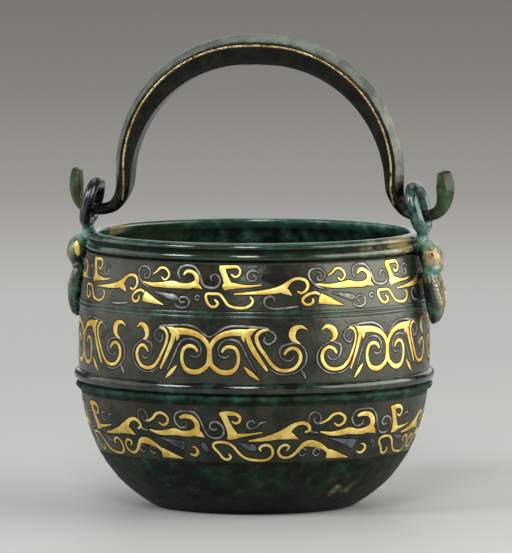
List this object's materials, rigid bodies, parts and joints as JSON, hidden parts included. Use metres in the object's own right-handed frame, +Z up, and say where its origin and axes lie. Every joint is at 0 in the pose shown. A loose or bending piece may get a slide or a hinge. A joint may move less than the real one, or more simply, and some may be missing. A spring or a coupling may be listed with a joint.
{
  "type": "bucket",
  "caption": "Small cast-bronze pail with cicada ears, a swinging hooked bail and gold scrolls inlaid in bands round its wall.",
  "frame": {"origin": "centre of the flat base, on the ground, on the vessel's own axis", "axes": "+Z up along the vessel's axis, +X to the right-hand ear and along the line through the ears, -Y the front"},
  "size_m": [0.166, 0.149, 0.195],
  "materials": {
    "dark_bronze": "old dark bronze, brown-black on the bands and green on the bowl and mouldings, satin",
    "green_patina": "grey-green to teal patina over bronze, satin with soft highlights",
    "dark_bar": "near-black polished bronze with a pale grey-green outer side",
    "gold": "warm polished gold sheet, a little worn"
  },
  "bodies": {
    "bucket": {"bucket_body": "dark_bronze", "right_ear": "green_patina", "left_ear": "green_patina", "right_ear_rivet": "green_patina", "left_ear_rivet": "green_patina", "right_ear_eye_a": "gold", "right_ear_eye_b": "gold", "left_ear_eye_a": "gold", "left_ear_eye_b": "gold", "gold_heart_1": "gold", "gold_heart_2": "gold", "gold_heart_3": "gold", "gold_heart_4": "gold", "gold_heart_5": "gold", "gold_heart_6": "gold", "gold_side_scroll_left_1": "gold", "gold_side_scroll_left_2": "gold", "gold_side_scroll_left_3": "gold", "gold_side_scroll_left_4": "gold", "gold_side_scroll_left_5": "gold", "gold_side_scroll_left_6": "gold", "gold_side_scroll_right_1": "gold", "gold_side_scroll_right_2": "gold", "gold_side_scroll_right_3": "gold", "gold_side_scroll_right_4": "gold", "gold_side_scroll_right_5": "gold", "gold_side_scroll_right_6": "gold", "gold_upper_hook_1": "gold", "gold_upper_hook_2": "gold", "gold_upper_hook_3": "gold", "gold_upper_hook_4": "gold", "gold_upper_hook_5": "gold", "gold_upper_hook_6": "gold", "gold_upper_crest_1": "gold", "gold_upper_crest_2": "gold", "gold_upper_crest_3": "gold", "gold_upper_crest_4": "gold", "gold_upper_crest_5": "gold", "gold_upper_crest_6": "gold", "gold_lower_hook_1": "gold", "gold_lower_hook_2": "gold", "gold_lower_hook_3": "gold", "gold_lower_hook_4": "gold", "gold_lower_hook_5": "gold", "gold_lower_hook_6": "gold", "gold_lower_crest_1": "gold", "gold_lower_crest_2": "gold", "gold_lower_crest_3": "gold", "gold_lower_crest_4": "gold", "gold_lower_crest_5": "gold", "gold_lower_crest_6": "gold"},
    "bail": {"bail_handle": "dark_bar", "bail_gold_line_front": "gold", "bail_gold_line_back": "gold"}
  },
  "joints": [
    {"name": "bail_swing", "type": "hinge", "parent": "bucket", "child": "bail", "pos_m": [0.0022, 0, 0.12118], "axis": [1, 0, 0], "range_deg": [-86, 86]}
  ]
}
